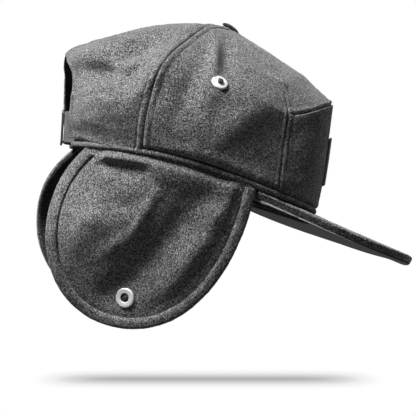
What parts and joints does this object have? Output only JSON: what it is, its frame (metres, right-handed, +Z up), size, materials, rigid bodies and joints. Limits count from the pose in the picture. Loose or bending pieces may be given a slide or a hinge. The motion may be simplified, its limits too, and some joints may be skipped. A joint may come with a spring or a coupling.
{
  "type": "earflap hat",
  "caption": "Wool cap with a flat visor, earflaps hanging from the rim with snap rings, a blank front patch and a strap across the open back.",
  "frame": {"origin": "middle of the rim's plane, where the head fills the cap; the mount head_seat", "axes": "+X towards the visor, +Y towards the wearer's left, +Z up along the wearer's head"},
  "size_m": [0.2866, 0.168, 0.2388],
  "materials": {
    "wool": "heathered charcoal melton wool, matt and slightly fuzzy",
    "binding": "folded strip of the same wool",
    "button_cloth": "near-black cloth over a button",
    "sweatband_cloth": "dark cotton twill",
    "grey_cotton": "smooth mid-grey cotton",
    "strap_webbing": "light grey webbing",
    "patch_cloth": "plain blank cloth with a pale edge",
    "steel": "satin silver-white snap metal"
  },
  "bodies": {
    "root": {"front_panel": "wool", "top_panel": "wool", "side_panel_right": "wool", "side_panel_left": "wool", "back_panel_right": "wool", "back_panel_left": "wool", "rim_welt": "wool", "visor": "wool", "earflap_right": "wool", "earflap_left": "wool", "earflap_binding_right": "binding", "earflap_binding_left": "binding", "crown_button": "button_cloth", "sweatband": "sweatband_cloth", "visor_underlay": "grey_cotton", "back_strap": "strap_webbing", "strap_slide": "steel", "front_patch": "patch_cloth", "flap_snap_right": "steel", "flap_snap_left": "steel", "crown_stud_right": "steel", "crown_stud_left": "steel"}
  },
  "joints": []
}
